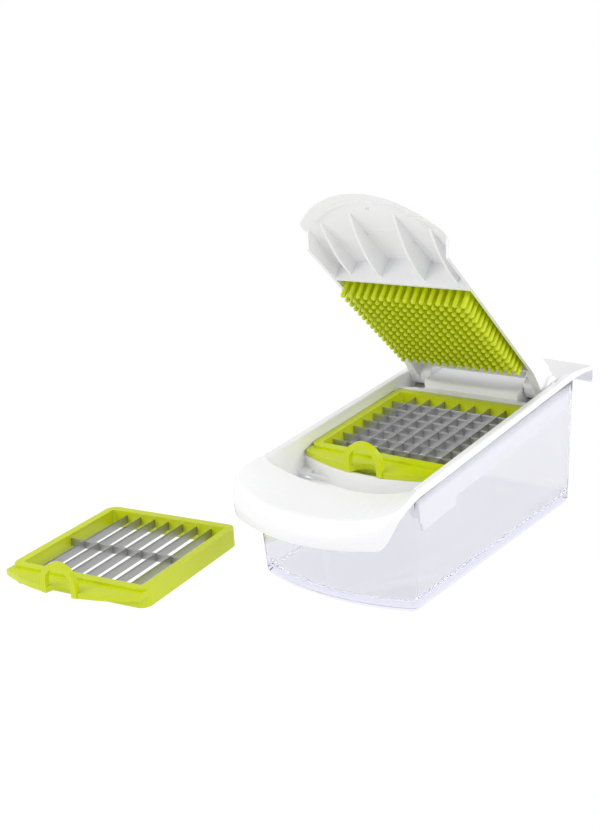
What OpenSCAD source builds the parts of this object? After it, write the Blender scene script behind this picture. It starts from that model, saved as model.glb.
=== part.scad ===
// Countertop vegetable dicer with a hinged pusher lid, a collecting container and two blade inserts.
// All lengths are in millimetres. +Z is up, the front (the handle end) faces -Y.
// The origin is on the table, under the middle of the container's base.

/* [Deck] */
// Slope of the cutting deck, the back being higher
deck_tilt = 5.3; // [3:0.1:7]
// Height of the blade edges above the table, at the middle of the cutting grid
deck_z = 75.9; // [74:0.1:78]
// Middle of the cutting grid behind the container's centre
deck_y = 2.9; // [2:0.1:4]

/* [Cutting grid] */
// Side of one square cell
cell = 12; // [12:1:12]
// Cells along each side of the grid
cells = 8; // [8:1:8]
// Thickness of a blade
blade_t = 0.5; // [0.4:0.1:0.6]
// Height of a blade
blade_h = 6; // [5:0.5:7]

/* [Blade inserts] */
// Half of the outer width of an insert
insert_half = 54; // [53.5:0.1:54.2]
// Height of an insert's walls
insert_h = 13; // [12:0.5:13]
// Height of the rim above the blade edges
rim_rise = 2.5; // [2:0.1:3]
// Outer radius of the finger loop
loop_r = 14; // [13:0.5:14]
// Width of the finger loop's bar
loop_bar = 4; // [3:0.5:5]
// Place of the loose slicing insert beside the dicer, to the right
spare_x = -149.6; // [-190:0.1:-140]
// Place of the loose slicing insert beside the dicer, to the back
spare_y = -134.2; // [-170:0.1:-120]
// Turn of the loose slicing insert on the table
spare_turn = 8.8; // [-15:0.1:15]

/* [Lid] */
// Angle that the lid stands open at rest
lid_open = 46.8; // [40:0.1:48]
// Distance of the hinge axis behind the middle of the grid
hinge_y = 80.3; // [79:0.1:82]
// Height of the hinge axis above the blade edges
hinge_z = 6.6; // [6.2:0.1:7]
// Half of the lid's width
lid_half = 52.4; // [52:0.1:53]
// Wall thickness of the lid
lid_wall = 2.5; // [2:0.1:3]
// Length of a pusher pin
pin_len = 13; // [12:0.5:13]
// Radius of a pusher pin
pin_r = 1.8; // [1.5:0.1:1.9]

/* [Frame] */
// Half of the frame's width over its side rails
rail_half = 61; // [61:0.1:62]
// Height of the side rails above the blade edges
rail_z = 10.5; // [10:0.1:11]
// Wall thickness of the frame
frame_wall = 2.5; // [2:0.1:3]

/* [Container] */
// Half of the base's width
base_half = 57; // [56.5:0.1:57.5]
// Half of the container's width at the height of the deck
mouth_half = 59.8; // [59.5:0.1:60]
// Wall thickness of the container
bin_wall = 2.1; // [1.8:0.1:2.2]

/* [Hidden] */
$fn = 48;
eps = 0.01;
grid_half = cell * cells / 2;
insert_top = rim_rise;
insert_bottom = rim_rise - insert_h;
flange_top = 0.8;
flange_bottom = -3;
flange_apex = -70.5;
flange_r = 127;
loop_y = -68.6;
loop_mid_z = insert_top + 16 - loop_r;
blade_end = grid_half + 2.5;
blade_slot = 0.04;
lap_play = 0.04;
pin_gap = cell / 2;
pin_tip_z = -3;
plate_bottom = pin_tip_z + pin_len;
plate_t = 2.5;
crown_edge_z = 17.7;
crown_top_z = 26.5;
crown_rise = crown_top_z - crown_edge_z;
crown_r = (lid_half * lid_half + crown_rise * crown_rise) / (2 * crown_rise);
lid_front = -126;
brim_r = 70;
brim_corner = 8;
lid_step_y = -98;
lid_rear = 73;
ear_in = 37.5;
ear_out = 54.4;
ear_r = 8.5;
axle_r = 2;
pin_out = 57.2;
pin_in = 40.7;
axle_play = 0.05;
inner_x = 54.8;
skirt_x = 56.2;
skirt_bottom = -12.7;
pocket_front = -69.4;
pocket_top = -3.15;
ledge_z = 2.2;
rear_wall_y = 63;
deck_edge_z = 7.5;
deck_rise = 3.06;
deck_flat_end = 101;
deck_t = 2.1;
well_floor = -15.5;
hook_y = 132.5;
hook_z = -2.1;
hook_r = 8.5;
hook_bow = 864;
hook_end = 45;
crest_y = -97;
apron_front = -144;
apron_r = 135;
apron_corner = 15;
apron_low = -15.2;
apron_t = 2.2;
rail_round = 2.5;
bin_rear = 111;
bin_front = 111;
bin_corner_f = 100;

white = [0.95, 0.95, 0.94];
lime = [0.66, 0.78, 0.12];
steel = [0.72, 0.73, 0.74];
clear = [0.86, 0.86, 0.95, 0.35];

// ---- places ----

// The cutting deck: origin at the middle of the grid, level with the blade edges
module on_deck() { translate([0, deck_y, deck_z]) rotate([deck_tilt, 0, 0]) children(); }

// The lid's parts are drawn closed, in the deck's frame, and turned open about the hinge
module on_lid() {
  on_deck() translate([0, hinge_y, hinge_z]) rotate([-lid_open, 0, 0])
    translate([0, -hinge_y, -hinge_z]) children();
}

// The loose insert stands on the table with its blades up
module on_table() {
  translate([spare_x, spare_y, -insert_bottom]) rotate([0, 0, spare_turn]) children();
}

// ---- outlines ----

// Rectangle with round corners, from its corners and the corner radius
module round_box(x0, x1, y0, y1, r) {
  union() {
    translate([x0 + r, y0]) square([x1 - x0 - 2 * r, y1 - y0]);
    translate([x0, y0 + r]) square([x1 - x0, y1 - y0 - 2 * r]);
    for (x = [x0 + r, x1 - r], y = [y0 + r, y1 - r]) translate([x, y]) circle(r);
  }
}

// Band in front of the line y = back whose front edge is a shallow arc
module bowed(half, back, apex, radius) {
  intersection() {
    translate([-half, apex - eps]) square([2 * half, back - apex + eps]);
    translate([0, apex + radius]) circle(radius, $fn = 180);
  }
}

// ---- container ----

// Points of the container's plan: shallow arc in front, round corners behind
function bin_plan(half, front, corner, rear, rr) =
  let (rise = front - corner,
       radius = (half * half + rise * rise) / (2 * rise),
       swing = asin(half / radius))
  concat(
    [for (i = [0:16]) let (a = -swing + 2 * swing * i / 16)
      [radius * sin(a), -front + radius * (1 - cos(a))]],
    [for (i = [0:8]) let (a = 90 * i / 8) [half - rr + rr * cos(a), rear - rr + rr * sin(a)]],
    [for (i = [0:8]) let (a = 90 + 90 * i / 8) [-half + rr + rr * cos(a), rear - rr + rr * sin(a)]]);

module bin_slab(z, half, front, corner, rear, rr) {
  translate([0, 0, z]) linear_extrude(0.1) polygon(bin_plan(half, front, corner, rear, rr));
}

module container() {
  foot = 3;
  floor_z = 5;
  top = 100;
  slope = (mouth_half - base_half) / 80;
  half_top = base_half + slope * top;
  lean = 4.5;
  color(clear) difference() {
    union() {
      linear_extrude(foot + eps)
        polygon(bin_plan(base_half - 1, bin_front - 1, bin_corner_f - 1, bin_rear - 1, 11));
      hull() {
        bin_slab(foot, base_half, bin_front, bin_corner_f, bin_rear, 12);
        bin_slab(top, half_top, bin_front + lean, bin_corner_f + lean, bin_rear + 1.5, 12);
      }
    }
    hull() {
      bin_slab(floor_z, base_half - bin_wall, bin_front - bin_wall, bin_corner_f - bin_wall,
        bin_rear - bin_wall, 10);
      bin_slab(top + 1, half_top - bin_wall, bin_front + lean - bin_wall,
        bin_corner_f + lean - bin_wall, bin_rear + 1.5 - bin_wall, 10);
    }
    on_deck() translate([-100, -200, 6.8]) cube([200, 400, 60]);
    on_deck() translate([-57, 100, 4.5]) cube([114, 40, 60]);
    on_deck() translate([-80, -130, 5.6]) cube([160, 32, 60]);
    on_deck() translate([0, crest_y, 170 - 4.3]) rotate([90, 0, 0]) cylinder(h = 60, r = 170, $fn = 180);
  }
}

// ---- top frame ----

// Section of a side rail, seen from the front
module rail_section() {
  polygon(concat(
    [[inner_x, skirt_bottom], [skirt_x, skirt_bottom], [skirt_x, 6.9], [rail_half, 6.9]],
    [for (i = [0:5]) let (a = 90 * i / 5) [rail_half - 2.5 + 2.5 * cos(a), rail_z - 2.5 + 2.5 * sin(a)]],
    [for (i = [0:3]) let (a = 90 + 90 * i / 3) [inner_x + 1 + cos(a), rail_z - 1 + sin(a)]]));
}

module side_profile(x0, x1) {
  translate([x0, 0, 0]) rotate([90, 0, 90]) linear_extrude(x1 - x0) children();
}

// Floor and side walls of the finger well between the apron and the cutting grid
module finger_well() {
  translate([-inner_x - 1, -82, well_floor - frame_wall])
    cube([2 * inner_x + 2, pocket_front + 3 + 82, frame_wall]);
  for (s = [-1, 1]) scale([s, 1, 1]) translate([inner_x, -95, well_floor - frame_wall])
    cube([skirt_x - inner_x, 38, skirt_bottom - well_floor + frame_wall + 1]);
}

module pocket_front_wall() {
  translate([0, 0, -18]) linear_extrude(18 + pocket_top) difference() {
    bowed(inner_x + 1, -57, pocket_front - 2, flange_r + 2);
    translate([0, 0]) bowed(inner_x + 2, -57 + eps, pocket_front, flange_r);
  }
}

module top_frame() {
  color(white) on_deck() difference() {
    union() {
      for (s = [-1, 1]) scale([s, 1, 1])
        translate([0, 100, 0]) rotate([90, 0, 0]) linear_extrude(100 - crest_y - 0.2) rail_section();
      front_apron();
      finger_well();
      pocket_front_wall();
      // ledge under the insert
      translate([0, 0, skirt_bottom]) linear_extrude(2) difference() {
        translate([-inner_x - 1, pocket_front + 1]) square([2 * inner_x + 2, 57 - pocket_front]);
        translate([-49, -49]) square(98);
        bowed_gap();
      }
      // pocket's back wall, the ledge above it and the wall up to the deck
      translate([-inner_x - 1, 55, skirt_bottom]) cube([2 * inner_x + 2, 2, ledge_z - skirt_bottom]);
      translate([-inner_x - 1, 55, ledge_z - 2]) cube([2 * inner_x + 2, rear_wall_y - 55 + 2, 2]);
      translate([-inner_x - 1, rear_wall_y, -6]) cube([2 * inner_x + 2, 2, 10.6]);
      rear_deck();
      hinge_pockets();
    }
    ear_pockets();
    for (s = [-1, 1]) translate([s * pin_out, hinge_y, hinge_z]) rotate([0, -90 * s, 0])
      cylinder(h = 10, r = axle_r);
    // the lid's side walls pass the ledge's ends
    for (s = [-1, 1]) translate([s * 49.5 - 4, 59.3, 1.7]) cube([8, 3.6, 5]);
    // nothing but the rear deck reaches the container's round rear corners
    translate([-58, 97, -30]) cube([116, 8, 30 + 3.5]);
  }
}

// Opening in the ledge in front of the grid, which keeps it clear of the front wall's foot
module bowed_gap() { translate([-46, -68]) square([92, 12]); }

// Walls around the lid's ears and the bosses that hold the hinge pins
module hinge_pockets() {
  for (s = [-1, 1]) scale([s, 1, 1]) {
    translate([ear_in - 3, rear_wall_y, -6]) cube([2.4, 29, 12.4]);
    translate([ear_in - 1, 90.5, -6]) cube([inner_x - ear_in + 1.5, 2, 13.6]);
    translate([ear_in - 1, 60, -6]) cube([inner_x - ear_in + 1.5, 32, 2]);
    translate([inner_x, hinge_y, hinge_z]) rotate([0, 90, 0]) cylinder(h = 57.7 - inner_x, r = 4.2);
  }
}

// Room for the lid's ears and side walls
module ear_pockets() {
  for (s = [-1, 1]) scale([s, 1, 1]) translate([ear_in - 0.6, 60.5, -4])
    cube([inner_x - ear_in + 0.6, 30, 30]);
}

// ---- front apron ----

// The apron is a skin drawn as sections that fan out from the crest to the apron's outline.
// The outline runs down one side, round a corner and half way across the shallow front arc.
side_steps = 4;
corner_steps = 8;
front_steps = 7;
half_steps = side_steps + corner_steps + front_steps;
corner_x = rail_half - apron_corner;
front_mid_y = apron_front + apron_r;
corner_turn = 90 - asin(corner_x / (apron_r - apron_corner));
corner_y = front_mid_y - (apron_r - apron_corner) * sin(corner_turn);
side_len = crest_y - corner_y;

// How far section k is along the side, the corner and the front, each from 0 to 1
function on_side(k) = min(k / side_steps, 1);
function on_corner(k) = max(0, min((k - side_steps) / corner_steps, 1));
function on_front(k) = max(0, (k - side_steps - corner_steps) / front_steps);

function outline(k, inset) =
  let (turn = corner_turn + (90 - corner_turn) * on_front(k), a = corner_turn * on_corner(k))
  on_front(k) > 0 ? [(apron_r - inset) * cos(turn), front_mid_y - (apron_r - inset) * sin(turn)] :
  on_corner(k) > 0 ? [corner_x + (apron_corner - inset) * cos(a),
    corner_y - (apron_corner - inset) * sin(a)] :
  [rail_half - inset - into_rail(k) / 15, crest_y + into_rail(k) - side_len * on_side(k)];

function crest_x(k) = on_front(k) > 0 ?
  47 * cos(corner_turn + (90 - corner_turn) * on_front(k)) / cos(corner_turn) :
  58.4 - 1.4 * on_side(k) - 10 * on_corner(k);

// The skin's two ends run a little way into the side rails
function into_rail(k) = k > 0 ? 0 : 1.5;

// Dished top, flatter towards the front, and the lower edge, which sweeps up at the sides
function top_z(x, y) = 10.5 * pow(abs(x) / 58, 2.5) * cos(90 * (crest_y - y) / 48) - 0.3;
function ease(t) = t * t * (3 - 2 * t);
function low_z(k) = on_front(k) > 0 ? apron_low + 1.7 * pow(1 - on_front(k), 2) :
  on_corner(k) > 0 ? 3 - 16.5 * ease(on_corner(k)) : 6.9 - 3.9 * pow(on_side(k), 2);
function roll_len(k) = rail_round + 2 * on_side(k) + 5 * on_corner(k) + 1.5 * on_front(k);

// One section: up the well's slope, over the crest, along the top and down the rolled edge
function apron_section(k, t) =
  let (p = outline(k, t), c = [crest_x(k) * (1 - t / 80), crest_y + into_rail(k) - 0.3 * t], gap = p - c,
       run = max(0.2, 1 - (roll_len(k) - t * 0.6) / norm(p - c)), start = c + run * gap,
       crest_z = top_z(c[0], c[1]) - t, start_z = top_z(start[0], start[1]) - t,
       x = c[0] * 0.955, well_z = well_floor - t - 0.3)
  concat(
    [for (j = [0:5]) let (w = j / 6) [x, -80 - t * 0.7 + (c[1] + 80) * w,
      well_z + (crest_z - well_z) * (w + ease(w)) / 2]],
    [for (j = [0:4]) let (q = c + j / 5 * run * gap) [q[0], q[1], top_z(q[0], q[1]) - t]],
    [for (j = [0:9]) let (a = 10 * j, q = start + (p - start) * sin(a))
      [q[0], q[1], low_z(k) + (start_z - low_z(k)) * cos(a)]]);

// Closed skin between an outer and an inner set of sections
module skin(outer, inner) {
  cols = len(outer);
  rows = len(outer[0]);
  n = cols * rows;
  function o(i, j) = i * rows + j;
  function q(i, j) = n + i * rows + j;
  quads = concat(
    [for (i = [0:cols - 2], j = [0:rows - 2]) [o(i, j), o(i, j + 1), o(i + 1, j + 1), o(i + 1, j)]],
    [for (i = [0:cols - 2], j = [0:rows - 2]) [q(i, j), q(i + 1, j), q(i + 1, j + 1), q(i, j + 1)]],
    [for (i = [0:cols - 2]) [o(i, 0), o(i + 1, 0), q(i + 1, 0), q(i, 0)]],
    [for (i = [0:cols - 2]) [o(i, rows - 1), q(i, rows - 1), q(i + 1, rows - 1), o(i + 1, rows - 1)]],
    [for (j = [0:rows - 2]) [o(0, j), q(0, j), q(0, j + 1), o(0, j + 1)]],
    [for (j = [0:rows - 2]) [o(cols - 1, j), o(cols - 1, j + 1), q(cols - 1, j + 1), q(cols - 1, j)]]);
  tris = [for (f = quads) each [[f[0], f[1], f[2]], [f[0], f[2], f[3]]]];
  polyhedron([for (c = concat(outer, inner)) each c], tris);
}

// The apron's sections go from its right side round to its left
function all_sections(t) = concat([for (k = [0:half_steps]) apron_section(k, t)],
  [for (k = [half_steps - 1:-1:0]) [for (p = apron_section(k, t)) [-p[0], p[1], p[2]]]]);

module front_apron() { skin(all_sections(0), all_sections(apron_t)); }

// ---- rear deck and hook ----

// The deck is dished between the rails. Its edges are round, and it ends in a hooked lip
deck_half = rail_half + 0.05;
deck_xs = [for (a = [-90:15:-15]) (deck_half - rail_round - 0.05) - (rail_round + 0.05) * sin(a)];
deck_cols = concat([for (x = deck_xs) -x], [for (x = [-55, -50, -44, -36, -24, -12, 0]) x],
  [for (x = [12, 24, 36, 44, 50, 55]) x], [for (i = [len(deck_xs) - 1:-1:0]) deck_xs[i]]);

function deck_level(x) = deck_edge_z + deck_rise * pow(min(abs(x), 58.5) / 58.5, 4);
function edge_part(x) = max(0, abs(x) - 58.5) / (rail_round + 0.05);
function edge_drop(x) = (rail_round + 0.05) * (1 - sqrt(max(0, 1 - pow(edge_part(x), 2))));

function deck_section(x, t) =
  let (under = t > 0, mid_y = hook_y - x * x / hook_bow, r = hook_r - 1.35 * t, far = 85,
       front_drop = abs(x) < 52 ? 2.4 : 0,
       flat_z = under ? deck_level(x) - t - 1.6 * edge_part(x) : deck_level(x) - edge_drop(x),
       start = [mid_y + r * cos(far), hook_z + r * sin(far)])
  concat(
    [for (y = [0, 0.4, 1.2, 2.4]) [x, rear_wall_y - 0.1 + y, flat_z - front_drop * pow(1 - y / 2.4, 2)]],
    [for (y = [76, 89, deck_flat_end]) [x, y, flat_z]],
    [for (i = [1:4]) let (u = i / 5)
      [x, deck_flat_end + (start[0] - deck_flat_end) * u, flat_z + (start[1] - flat_z) * pow(u, 1.5)]],
    [for (i = [0:10]) let (a = far - (far + hook_end) * i / 10, w = min(1, (far - a) / 60))
      [x * (1 - 0.022 * w * w), mid_y + r * cos(a), hook_z + r * sin(a)]]);

module rear_deck() {
  skin([for (x = deck_cols) deck_section(x, 0)], [for (x = deck_cols) deck_section(x, deck_t)]);
}

// ---- hinge pins ----

module hinge_pin(s) {
  color(steel) on_deck() translate([s * pin_out, hinge_y, hinge_z]) rotate([0, -90 * s, 0])
    cylinder(h = pin_out - pin_in, r = axle_r);
}

// ---- lid ----

// Plan of the lid: straight sides, round front corners and a D-shaped front
module lid_plan(inset) {
  half = lid_half - inset;
  r = brim_r - inset;
  rc = max(brim_corner - inset, 2);
  mid_y = lid_front + brim_r;
  corner_y = mid_y - sqrt(pow(r - rc, 2) - pow(half - rc, 2));
  turn = acos((half - rc) / (r - rc));
  right = concat([[half, lid_rear - 2], [half, corner_y]],
    [for (i = [1:8]) let (a = turn * i / 8) [half - rc + rc * cos(a), corner_y - rc * sin(a)]],
    [for (i = [1:24]) let (a = turn + (90 - turn) * i / 24) [r * cos(a), mid_y - r * sin(a)]]);
  n = len(right);
  polygon(concat([[half - 2, lid_rear]], right, [for (i = [n - 2:-1:0]) [-right[i][0], right[i][1]]],
    [[-half + 2, lid_rear]]));
}

// Long cylinder that gives the lid its crowned top
module crown(inset) {
  translate([0, lid_rear + 20, crown_top_z - crown_r]) rotate([90, 0, 0])
    cylinder(h = 240, r = crown_r - inset, $fn = 360);
}

// Lower edge of the lid's side walls, seen from the side
module wall_profile() {
  polygon([[lid_step_y, 60], [lid_step_y, 18.5], [-88, 6.5], [-51.5, 6], [54, 3.7], [61, 3], [66, 0.5],
    [76, -1.6],
    [lid_rear + 12, -1.6], [lid_rear + 12, 60]]);
}

// One gusset under the lid's front. Its lower edge runs level at first and then curves up to the skin
module rib(x, y1, z1, z0) {
  y0 = -52;
  intersection() {
    side_profile(x - 0.9, x + 0.9) polygon(concat(
      [for (i = [0:12]) let (t = i / 12) [y0 + (y1 - y0) * t, z0 + (z1 - z0) * pow(t, 2.1)]],
      [[y1, 40], [y0, 40]]));
    crown(lid_wall - 0.5);
  }
}

module lid() {
  wall_in = lid_half - lid_wall;
  color(white) on_lid() difference() {
    union() {
      // crowned skin
      intersection() {
        translate([0, 0, 5]) linear_extrude(30) lid_plan(0);
        difference() {
          crown(0);
          crown(lid_wall);
        }
      }
      // side walls, the pusher housing's front and rear walls
      intersection() {
        crown(lid_wall / 2);
        side_profile(-lid_half, lid_half) wall_profile();
        linear_extrude(60, center = true) difference() {
          translate([-lid_half, lid_step_y]) square([2 * lid_half, lid_rear - lid_step_y]);
          translate([-wall_in, lid_step_y - 1]) square([2 * wall_in, -53 - lid_step_y + 1]);
          translate([-wall_in, -51.2]) square([2 * wall_in, 101.2]);
          translate([-wall_in, 52.5]) square([2 * wall_in, 60]);
        }
      }
      // rear edge strip between the ears
      intersection() {
        crown(lid_wall / 2);
        difference() {
          translate([-lid_half + 1, lid_rear - 2, 8.2]) cube([2 * lid_half - 2, 2, 20]);
          for (s = [-1, 1]) scale([s, 1, 1]) translate([ear_in - 1, lid_rear - 9, -20])
            cube([40, 20, 20 + 15]);
        }
      }
      lid_bead();
      for (s = [-1, 1]) {
        rib(s * 16, -108, 24.3, 9.7);
        rib(s * 39.4, -101, 19.5, 10);
        lid_ear(s);
      }
      for (x = [-30, 30], y = [-30, 30]) translate([x, y, plate_bottom + plate_t + 0.1]) intersection() {
        cylinder(h = 20, r = 4);
        translate([-x, -y, -plate_bottom - plate_t - 0.1]) crown(lid_wall / 2);
      }
    }
    translate([0, -109.7, 0]) cylinder(h = 60, r = 2);
    for (s = [-1, 1]) translate([s * 60, hinge_y, hinge_z]) rotate([0, -90 * s, 0])
      cylinder(h = 60.2 - pin_in, r = axle_r + axle_play);
    for (x = [-30, 30], y = [-30, 30]) translate([x, y, plate_bottom + plate_t - 1])
      cylinder(h = 7, r = 2);
  }
}

// Bead under the front brim and the shallow ring behind it
module lid_bead() {
  intersection() {
    crown(lid_wall / 2);
    union() {
      difference() {
        translate([0, 0, 5]) linear_extrude(30) difference() {
          lid_plan(7.4);
          lid_plan(8.6);
          translate([-80, lid_step_y - 4]) square([160, 300]);
        }
        crown(lid_wall + 1.2);
      }
      difference() {
        translate([0, -66, 5]) cylinder(h = 30, r = 22);
        translate([0, -66, 0]) cylinder(h = 60, r = 21.2);
        translate([-80, -52, 0]) cube([160, 100, 60]);
        crown(lid_wall + 0.5);
      }
    }
  }
}

// Hinge ear: a barrel across the hinge axis with a web up to the lid's skin
module lid_ear(s) {
  translate([s * ear_in, hinge_y, hinge_z]) rotate([0, 90 * s, 0]) cylinder(h = ear_out - ear_in, r = ear_r);
  intersection() {
    translate([s > 0 ? lid_half - 6 : -lid_half, 52, -5]) cube([6, hinge_y - 52, 40]);
    side_profile(-lid_half, lid_half) polygon([[52, 4], [66, 0.8], [hinge_y - 2, hinge_z - 8],
      [hinge_y + 2, hinge_z + 8], [lid_rear, 17.5], [52, 17.5]]);
    crown(lid_wall / 2);
  }
}

// ---- pusher pad ----

module pusher_pin() {
  translate([0, 0, pin_tip_z + pin_r]) {
    cylinder(h = pin_len - pin_r + 0.5, r = pin_r, $fn = 24);
    sphere(pin_r, $fn = 24);
  }
}

module pusher_pad() {
  half = lid_half - lid_wall - 0.3;
  color(lime) on_lid() {
    translate([-half, -50.8, plate_bottom]) cube([2 * half, 100.6, plate_t]);
    for (i = [0:2 * cells - 1], j = [0:2 * cells - 1])
      translate([(i - cells + 0.5) * pin_gap, (j - cells + 0.5) * pin_gap, 0]) pusher_pin();
    for (x = [-30, 30], y = [-30, 30]) translate([x, y, plate_bottom + 1]) cylinder(h = plate_t + 4.9, r = 2);
  }
}

// ---- blade inserts ----

// Slots that hold the ends of the blades
module blade_slots(cross_list) {
  w = blade_t + 2 * blade_slot;
  for (i = [1:cells - 1]) translate([(i - cells / 2) * cell - w / 2, -blade_end - blade_slot, -blade_h])
    cube([w, 2 * (blade_end + blade_slot), blade_h + 0.02]);
  for (y = cross_list) translate([-blade_end - blade_slot, y - w / 2, -blade_h])
    cube([2 * (blade_end + blade_slot), w, blade_h + 0.02]);
}

// Plan of the front flange: a shallow arc, with the finger notch
module flange_plan() {
  difference() {
    intersection() {
      bowed(insert_half - 0.6, -grid_half - 1, flange_apex, flange_r);
      round_box(-insert_half + 0.6, insert_half - 0.6, flange_apex - 20, 0, 4);
    }
    translate([0, flange_apex - 1]) circle(loop_r - loop_bar);
  }
}

module insert_frame(cross_list) {
  difference() {
    union() {
      translate([0, 0, insert_bottom]) linear_extrude(insert_h)
        round_box(-insert_half, insert_half, -insert_half, insert_half, 7);
      translate([0, 0, flange_bottom]) linear_extrude(flange_top - flange_bottom) flange_plan();
      finger_loop();
    }
    translate([0, 0, insert_bottom - 1]) linear_extrude(insert_h + 2)
      round_box(-grid_half, grid_half, -grid_half, grid_half, 2);
    // bevelled foot of the front wall
    translate([0, -insert_half - 3.2, insert_bottom - 3.2]) rotate([45, 0, 0])
      translate([-80, -4.6, -4.6]) cube([160, 9.2, 9.2]);
    blade_slots(cross_list);
  }
}

// Upright half-ring on two short legs
module finger_loop() {
  translate([0, loop_y + loop_bar / 2, 0]) rotate([90, 0, 0]) linear_extrude(loop_bar) difference() {
    union() {
      translate([0, loop_mid_z]) circle(loop_r, $fn = 72);
      translate([-loop_r, flange_bottom]) square([2 * loop_r, loop_mid_z - flange_bottom]);
    }
    translate([0, loop_mid_z]) circle(loop_r - loop_bar, $fn = 72);
    translate([-loop_r + loop_bar, flange_bottom - 1])
      square([2 * (loop_r - loop_bar), loop_mid_z - flange_bottom + 1]);
    translate([-loop_r - 1, flange_bottom - 40]) square([2 * loop_r + 2, 40]);
  }
}

// Section of a blade with its honed upper edge
module blade_section() {
  t = blade_t / 2;
  polygon([[-t, -blade_h], [t, -blade_h], [t, -0.9], [0.06, 0], [-0.06, 0], [-t, -0.9]]);
}

// A blade along Y. Its half-lap notches are cut from below at each place in laps
module blade_y(laps, from_top) {
  w = blade_t + 2 * lap_play;
  difference() {
    translate([0, blade_end, 0]) rotate([90, 0, 0]) linear_extrude(2 * blade_end) blade_section();
    for (y = laps) translate([-1, y - w / 2, from_top ? -blade_h / 2 : -blade_h - 1])
      cube([2, w, blade_h / 2 + 1]);
  }
}

function steps() = [for (i = [1:cells - 1]) (i - cells / 2) * cell];

module dicing_frame() { color(lime) on_deck() insert_frame(steps()); }
module dicing_blade_long(x) { color(steel) on_deck() translate([x, 0, 0]) blade_y(steps(), true); }
module dicing_blade_cross(y) {
  color(steel) on_deck() translate([0, y, 0]) rotate([0, 0, 90]) blade_y(steps(), false);
}
module slicing_frame() { color(lime) on_table() insert_frame([0]); }
module slicing_blade(x) { color(steel) on_table() translate([x, 0, 0]) blade_y([0], true); }
module slicing_cross_blade() { color(steel) on_table() rotate([0, 0, 90]) blade_y(steps(), false); }

container();
top_frame();
hinge_pin(-1);  // hinge_pin_left
hinge_pin(1);  // hinge_pin_right
lid();
pusher_pad();
dicing_frame();
for (i = [1:cells - 1]) dicing_blade_long(steps()[i - 1]);
for (i = [1:cells - 1]) dicing_blade_cross(steps()[i - 1]);
slicing_frame();
for (i = [1:cells - 1]) slicing_blade(steps()[i - 1]);
slicing_cross_blade();
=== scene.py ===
"""A countertop vegetable dicer with its lid open, a clear container and a spare slicing insert beside it."""
import math

import bmesh
import bpy
from mathutils import Matrix, Vector


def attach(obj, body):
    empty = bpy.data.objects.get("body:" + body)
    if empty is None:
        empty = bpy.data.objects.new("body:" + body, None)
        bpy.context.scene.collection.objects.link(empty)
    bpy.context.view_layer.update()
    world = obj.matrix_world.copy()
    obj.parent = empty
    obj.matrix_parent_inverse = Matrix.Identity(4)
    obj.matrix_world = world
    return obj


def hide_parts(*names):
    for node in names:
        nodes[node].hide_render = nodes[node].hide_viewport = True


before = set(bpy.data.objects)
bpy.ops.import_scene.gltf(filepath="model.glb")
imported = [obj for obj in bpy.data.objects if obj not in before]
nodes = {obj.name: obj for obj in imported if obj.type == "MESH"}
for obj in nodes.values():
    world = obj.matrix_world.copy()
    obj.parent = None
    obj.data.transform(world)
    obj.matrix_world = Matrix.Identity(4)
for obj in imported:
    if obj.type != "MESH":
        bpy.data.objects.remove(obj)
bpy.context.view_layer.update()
scene = bpy.context.scene
MM = 0.001

# ---- driving sizes, in millimetres and degrees, as in the part ----

DECK_TILT = 5.3
DECK_ORIGIN = (0.0, 2.9, 75.9)


# ---- places ----

def turn(degrees, axis):
    """A turn about an axis through the origin."""
    return Matrix.Rotation(math.radians(degrees), 4, axis)


# ---- shader helpers ----

def new_material(name):
    """An empty node material: its tree, its Principled shader and its output."""
    material = bpy.data.materials.new(name)
    material.use_nodes = True
    tree = material.node_tree
    shader = tree.nodes["Principled BSDF"]
    return material, tree, shader, tree.nodes["Material Output"]


def add(tree, kind, **values):
    """A shader node with its properties and input values set."""
    node = tree.nodes.new(kind)
    for key, value in values.items():
        if key in node.inputs:
            node.inputs[key].default_value = value
        else:
            setattr(node, key, value)
    return node


def object_place(tree, scale):
    """Object coordinates, in metres, times a scale."""
    place = add(tree, "ShaderNodeTexCoord")
    mapping = add(tree, "ShaderNodeMapping")
    mapping.inputs["Scale"].default_value = scale
    tree.links.new(place.outputs["Object"], mapping.inputs["Vector"])
    return mapping.outputs["Vector"]


def varied_colour(tree, shader, colour, other, scale):
    """A base colour that drifts slightly over the surface."""
    noise = add(tree, "ShaderNodeTexNoise", Scale=1.0, Detail=3.0)
    tree.links.new(object_place(tree, scale), noise.inputs["Vector"])
    mix = add(tree, "ShaderNodeMix", data_type="RGBA")
    mix.inputs["A"].default_value = (*colour, 1)
    mix.inputs["B"].default_value = (*other, 1)
    tree.links.new(noise.outputs["Fac"], mix.inputs["Factor"])
    tree.links.new(mix.outputs["Result"], shader.inputs["Base Color"])
    return noise


def varied_value(tree, socket, source, low, high):
    """A shader value between low and high, driven by a noise."""
    spread = add(tree, "ShaderNodeMapRange")
    spread.inputs["From Min"].default_value = 0.3
    spread.inputs["From Max"].default_value = 0.7
    spread.inputs["To Min"].default_value = low
    spread.inputs["To Max"].default_value = high
    tree.links.new(source, spread.inputs["Value"])
    tree.links.new(spread.outputs["Result"], socket)


def fine_bump(tree, shader, scale, strength, distance):
    """A shallow bump from fine noise, such as the skin of moulded plastic."""
    noise = add(tree, "ShaderNodeTexNoise", Scale=1.0, Detail=2.0)
    tree.links.new(object_place(tree, scale), noise.inputs["Vector"])
    bump = add(tree, "ShaderNodeBump", Strength=strength, Distance=distance)
    tree.links.new(noise.outputs["Fac"], bump.inputs["Height"])
    tree.links.new(bump.outputs["Normal"], shader.inputs["Normal"])


# ---- materials ----

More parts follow.
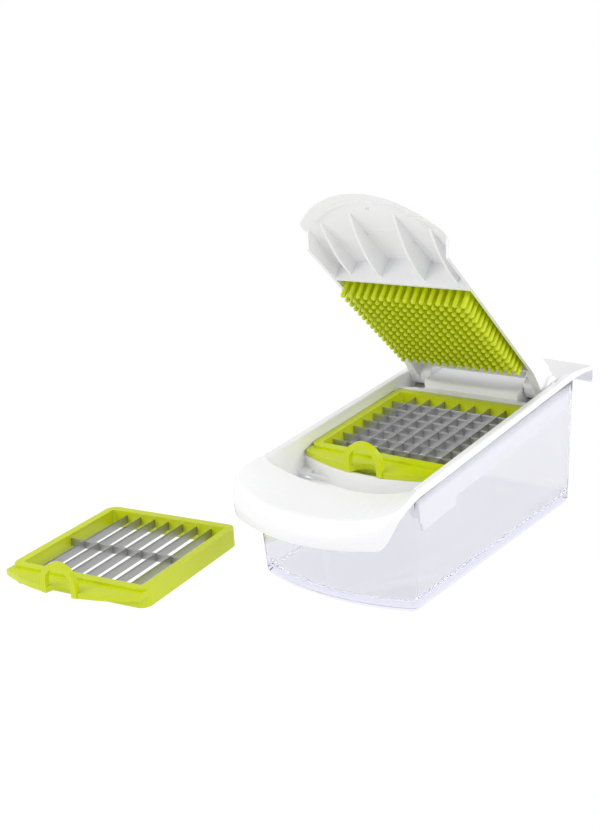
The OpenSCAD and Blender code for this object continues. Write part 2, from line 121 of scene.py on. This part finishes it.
def white_plastic():
    """Glossy white ABS."""
    material, tree, shader, _ = new_material("white_plastic")
    noise = varied_colour(tree, shader, (0.87, 0.87, 0.885), (0.89, 0.89, 0.9), (30, 30, 30))
    varied_value(tree, shader.inputs["Roughness"], noise.outputs["Fac"], 0.2, 0.27)
    fine_bump(tree, shader, (900, 900, 900), 0.06, 0.0002)
    shader.inputs["IOR"].default_value = 1.5
    shader.inputs["Subsurface Weight"].default_value = 0.1
    shader.inputs["Subsurface Radius"].default_value = (0.003, 0.003, 0.003)
    return material


def lime_plastic():
    """Lime green plastic with a soft gloss."""
    material, tree, shader, _ = new_material("lime_plastic")
    noise = varied_colour(tree, shader, (0.55, 0.64, 0.003), (0.60, 0.68, 0.004), (60, 60, 60))
    varied_value(tree, shader.inputs["Roughness"], noise.outputs["Fac"], 0.28, 0.36)
    fine_bump(tree, shader, (700, 700, 700), 0.08, 0.0002)
    shader.inputs["IOR"].default_value = 1.49
    shader.inputs["Subsurface Weight"].default_value = 0.15
    shader.inputs["Subsurface Radius"].default_value = (0.002, 0.002, 0.0005)
    return material


def clear_plastic():
    """Clear plastic that shows violet where the light runs through a long way."""
    material, tree, shader, output = new_material("clear_plastic")
    noise = varied_colour(tree, shader, (0.935, 0.938, 0.94), (0.925, 0.928, 0.93), (12, 12, 12))
    varied_value(tree, shader.inputs["Roughness"], noise.outputs["Fac"], 0.02, 0.06)
    fine_bump(tree, shader, (60, 60, 60), 0.03, 0.0005)
    shader.inputs["IOR"].default_value = 1.45
    shader.inputs["Transmission Weight"].default_value = 1.0
    haze = add(tree, "ShaderNodeVolumeAbsorption", Color=(0.60, 0.57, 0.94, 1), Density=20.0)
    tree.links.new(haze.outputs["Volume"], output.inputs["Volume"])
    through = add(tree, "ShaderNodeBsdfTransparent", Color=(0.985, 0.985, 1.0, 1))
    milk = add(tree, "ShaderNodeBsdfTranslucent", Color=(0.86, 0.86, 0.92, 1))
    cloudy = add(tree, "ShaderNodeMixShader", Fac=0.06)
    tree.links.new(shader.outputs["BSDF"], cloudy.inputs[1])
    tree.links.new(milk.outputs["BSDF"], cloudy.inputs[2])
    path = add(tree, "ShaderNodeLightPath")
    passing = add(tree, "ShaderNodeMath", operation="MAXIMUM")
    tree.links.new(path.outputs["Is Shadow Ray"], passing.inputs[0])
    tree.links.new(path.outputs["Is Diffuse Ray"], passing.inputs[1])
    mix = add(tree, "ShaderNodeMixShader")
    tree.links.new(passing.outputs["Value"], mix.inputs["Fac"])
    tree.links.new(cloudy.outputs["Shader"], mix.inputs[1])
    tree.links.new(through.outputs["BSDF"], mix.inputs[2])
    tree.links.new(mix.outputs["Shader"], output.inputs["Surface"])
    return material


def blade_steel():
    """Stainless blade steel with a fine ground texture."""
    material, tree, shader, _ = new_material("blade_steel")
    noise = varied_colour(tree, shader, (0.40, 0.40, 0.40), (0.50, 0.50, 0.50), (60, 60, 1400))
    varied_value(tree, shader.inputs["Roughness"], noise.outputs["Fac"], 0.38, 0.48)
    fine_bump(tree, shader, (60, 60, 1400), 0.02, 0.0001)
    shader.inputs["Metallic"].default_value = 1.0
    return material


def pin_steel():
    """Plain drawn steel of the hinge pins."""
    material, tree, shader, _ = new_material("pin_steel")
    noise = varied_colour(tree, shader, (0.55, 0.55, 0.56), (0.62, 0.62, 0.63), (200, 900, 900))
    varied_value(tree, shader.inputs["Roughness"], noise.outputs["Fac"], 0.25, 0.4)
    shader.inputs["Metallic"].default_value = 1.0
    return material


WHITE = white_plastic()
LIME = lime_plastic()
CLEAR = clear_plastic()
STEEL = blade_steel()
PIN = pin_steel()


# ---- CAD pieces that keep their shape ----

def dress(name, material, bevel=0.0, angle=35):
    """Gives a CAD node its material, soft edges and smooth shading."""
    piece = nodes[name]
    piece.data.materials.clear()
    piece.data.materials.append(material)
    for face in piece.data.polygons:
        face.use_smooth = True
    if bevel:
        edge = piece.modifiers.new("soft_edges", "BEVEL")
        edge.width = bevel * MM
        edge.segments = 2
        edge.limit_method = "ANGLE"
        edge.angle_limit = math.radians(40)
        edge.harden_normals = False
    smooth = piece.modifiers.new("smooth", "WEIGHTED_NORMAL")
    smooth.keep_sharp = True
    piece.data.set_sharp_from_angle(angle=math.radians(angle))
    return piece


for name in nodes:
    if "blade" in name:
        dress(name, STEEL)
dress("top_frame", WHITE, bevel=0.4)
dress("lid", WHITE, bevel=0.35)
dress("pusher_pad", LIME)
dress("dicing_frame", LIME, bevel=0.8)
dress("slicing_frame", LIME, bevel=0.8)
dress("hinge_pin_left", PIN)
dress("hinge_pin_right", PIN)


# ---- new pieces ----

def finish_piece(bm, name, material, body, *stands_for, sharp=30):
    """Turns a bmesh into a smooth-shaded piece that rides on a body and stands for CAD nodes."""
    bmesh.ops.recalc_face_normals(bm, faces=bm.faces)
    mesh = bpy.data.meshes.new(name)
    bm.to_mesh(mesh)
    bm.free()
    mesh.materials.append(material)
    for face in mesh.polygons:
        face.use_smooth = True
    mesh.set_sharp_from_angle(angle=math.radians(sharp))
    piece = bpy.data.objects.new(name, mesh)
    scene.collection.objects.link(piece)
    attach(piece, body)
    if stands_for:
        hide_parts(*stands_for)
    return piece


# ---- clear container ----

BIN = {"half": 57.0, "front": 111.0, "corner": 100.0, "rear": 111.0}
BIN_SPREAD = {"half": 3.5, "front": 4.5, "corner": 4.5, "rear": 1.5}
BIN_WALL = 2.1
BIN_TOP = 6.8
BIN_FRONT_TOP = 5.6
CREST = -97.0


def arc(middle, radius, start, stop, steps):
    """Points along an arc, angles in degrees."""
    angles = [math.radians(start + (stop - start) * i / steps) for i in range(steps + 1)]
    return [(middle[0] + radius * math.cos(a), middle[1] + radius * math.sin(a)) for a in angles]


def bin_plan(height, inset, front_round=5.0, rear_round=12.0):
    """The container's plan at a height above the table: a bowed front and round corners."""
    grown = {key: BIN[key] + BIN_SPREAD[key] * height / 100 - inset for key in BIN}
    half, rise = grown["half"], grown["front"] - grown["corner"]
    radius = (half * half + rise * rise) / (2 * rise)
    middle = radius - grown["front"]
    small = max(0.8, front_round - inset)
    lean = math.degrees(math.asin((half - small) / (radius - small)))
    corner = (half - small, middle - math.sqrt((radius - small) ** 2 - (half - small) ** 2))
    big = max(1.5, rear_round - inset)
    right = arc((0, middle), radius, -90, -90 + lean, 14)
    right += arc(corner, small, -90 + lean, 0, 8)[1:]
    side_end = grown["rear"] - big
    right += [(half, corner[1] + (side_end - corner[1]) * i / 12) for i in range(1, 12)]
    right += arc((half - big, side_end), big, 0, 90, 10)
    right += [(x, grown["rear"]) for x in ((half - big) * (1 - i / 6) for i in range(1, 6))]
    right += [(0.0, grown["rear"])]
    return right + [(-x, y) for x, y in reversed(right[1:-1])]


def rim_height(x, y):
    """The container's rim: in the deck's plane, and dished under the apron."""
    slope = math.radians(DECK_TILT)
    along = (y - DECK_ORIGIN[1]) / math.cos(slope) - BIN_TOP * math.tan(slope)
    level = BIN_TOP
    if along < CREST:
        dished = 165.7 - math.sqrt(170.0 ** 2 - x * x)
        blend = min(1.0, (CREST - along) / 4)
        level += (min(dished, BIN_FRONT_TOP) - BIN_TOP) * blend
    return DECK_ORIGIN[2] + along * math.sin(slope) + level * math.cos(slope)


def make_container():
    """A thin clear shell on a low foot, with a rounded floor edge inside and out."""
    outer = [(0.0, 3.0), (0.0, 1.9), (0.4, 1.2), (2.4, 1.0), (2.7, 0.7), (2.9, 0.25), (3.3, 0.0), (6.0, 0.0)]
    inner = [(10.0, 0.0), (8.0, 0.35), (6.6, 1.1), (5.7, 2.3), (5.2, 4.0), (5.0, 6.5)]
    bm = bmesh.new()

    def ring(points, heights):
        return [bm.verts.new((x * MM, y * MM, z * MM)) for (x, y), z in zip(points, heights)]

    def flat_ring(height, inset):
        points = bin_plan(height, inset)
        return ring(points, [height] * len(points))

    def wall_ring(part, low, inset):
        foot = bin_plan(low, inset)
        tops = [rim_height(x, y) for x, y in bin_plan(70, inset)]
        points = []
        heights = []
        for i, top in enumerate(tops):
            height = low + (top - low) * part
            points.append(bin_plan_point(height, inset, i))
            heights.append(height)
        return ring(points, heights)

    cache = {}

    def bin_plan_point(height, inset, i):
        key = (round(height, 1), inset)
        if key not in cache:
            cache[key] = bin_plan(key[0], inset)
        return cache[key][i]

    rings = [flat_ring(z, inset) for z, inset in outer]
    rings += [wall_ring(part, 6.0, 0.0) for part in (0.15, 0.35, 0.6, 0.85, 0.985)]
    rings += [wall_ring(1.0, 6.0, 0.25), wall_ring(1.0, 6.0, BIN_WALL - 0.25)]
    rings += [wall_ring(part, 10.0, BIN_WALL) for part in (0.985, 0.85, 0.6, 0.35, 0.15)]
    rings += [flat_ring(z, BIN_WALL + inset) for z, inset in inner]
    for low, high in zip(rings, rings[1:]):
        count = len(low)
        for i in range(count):
            j = (i + 1) % count
            bm.faces.new((low[i], low[j], high[j], high[i]))
    bm.faces.new(list(reversed(rings[0])))
    bm.faces.new(rings[-1])
    return finish_piece(bm, "clear_container", CLEAR, "container", "container")


make_container()


# ---- stage, light and camera ----

def make_floor():
    """A wide white floor that glows, so that it meets the white surround without a line."""
    bm = bmesh.new()
    bmesh.ops.create_grid(bm, x_segments=2, y_segments=2, size=60.0)
    mesh = bpy.data.meshes.new("floor")
    bm.to_mesh(mesh)
    bm.free()
    floor = bpy.data.objects.new("floor", mesh)
    scene.collection.objects.link(floor)
    material, tree, shader, output = new_material("floor_white")
    varied_colour(tree, shader, (0.93, 0.93, 0.93), (0.94, 0.94, 0.94), (3, 3, 3))
    shader.inputs["Roughness"].default_value = 0.6
    path = add(tree, "ShaderNodeLightPath")
    strength = add(tree, "ShaderNodeMapRange")
    strength.inputs["To Min"].default_value = 1.03
    strength.inputs["To Max"].default_value = 0.9
    tree.links.new(path.outputs["Is Diffuse Ray"], strength.inputs["Value"])
    glow = add(tree, "ShaderNodeEmission")
    tree.links.new(strength.outputs["Result"], glow.inputs["Strength"])
    mix = add(tree, "ShaderNodeMixShader", Fac=0.05)
    tree.links.new(glow.outputs["Emission"], mix.inputs[1])
    tree.links.new(shader.outputs["BSDF"], mix.inputs[2])
    tree.links.new(mix.outputs["Shader"], output.inputs["Surface"])
    mesh.materials.append(material)


def area_light(name, place, aim, width, height, power, colour=(1, 1, 1)):
    """A soft rectangular light."""
    data = bpy.data.lights.new(name, "AREA")
    data.shape = "RECTANGLE"
    data.size = width
    data.size_y = height
    data.energy = power
    data.color = colour
    light = bpy.data.objects.new(name, data)
    light.location = place
    light.rotation_euler = (Vector(aim) - Vector(place)).to_track_quat("-Z", "Y").to_euler()
    scene.collection.objects.link(light)


def make_light():
    """A bright even surround with soft lights from the upper left, the front, the right and the back."""
    world = bpy.data.worlds.new("surround")
    scene.world = world
    world.use_nodes = True
    tree = world.node_tree
    soft = tree.nodes["Background"]
    soft.inputs["Strength"].default_value = 0.62
    seen = add(tree, "ShaderNodeBackground", Strength=1.0)
    path = add(tree, "ShaderNodeLightPath")
    mix = add(tree, "ShaderNodeMixShader")
    tree.links.new(path.outputs["Is Camera Ray"], mix.inputs["Fac"])
    tree.links.new(soft.outputs["Background"], mix.inputs[1])
    tree.links.new(seen.outputs["Background"], mix.inputs[2])
    tree.links.new(mix.outputs["Shader"], tree.nodes["World Output"].inputs["Surface"])
    soft.inputs["Color"].default_value = (1, 1, 1, 1)
    seen.inputs["Color"].default_value = (1, 1, 1, 1)
    area_light("key", (-0.7, -0.5, 1.3), (0, 0, 0.05), 0.8, 0.8, 7)
    area_light("front", (-0.6, -1.3, 0.45), (0, 0, 0.12), 0.7, 0.5, 4.5)
    area_light("right", (1.3, -0.1, 0.5), (0, 0, 0.06), 0.8, 0.5, 7)
    area_light("back", (0.5, 1.1, 0.9), (0, 0, 0.05), 0.8, 0.6, 3)


def make_camera():
    """A long lens from the front right, a little above the deck, with the frame leaning slightly."""
    azimuth = math.radians(38.87)
    height = math.radians(17.21)
    lean = -3.83
    distance = 0.78
    target = Vector((-0.0629, -0.0477, 0.0914))
    level = math.cos(height)
    back = Vector((math.sin(azimuth) * level, -math.cos(azimuth) * level, math.sin(height)))
    data = bpy.data.cameras.new("camera")
    data.lens = 51.2
    data.sensor_fit = "VERTICAL"
    data.sensor_height = 36
    data.clip_start = 0.05
    data.clip_end = 20
    camera = bpy.data.objects.new("camera", data)
    facing = back.to_track_quat("Z", "Y").to_matrix().to_4x4()
    camera.matrix_world = Matrix.Translation(target + back * distance) @ facing @ turn(lean, "Z")
    scene.collection.objects.link(camera)
    scene.camera = camera


make_floor()
make_light()
make_camera()
scene.render.resolution_x = 600
scene.render.resolution_y = 830
scene.view_settings.view_transform = "Standard"
scene.view_settings.exposure = 0.0
scene.cycles.max_bounces = 16
scene.cycles.transmission_bounces = 12
scene.cycles.transparent_max_bounces = 16
scene.cycles.caustics_refractive = False
scene.cycles.caustics_reflective = False
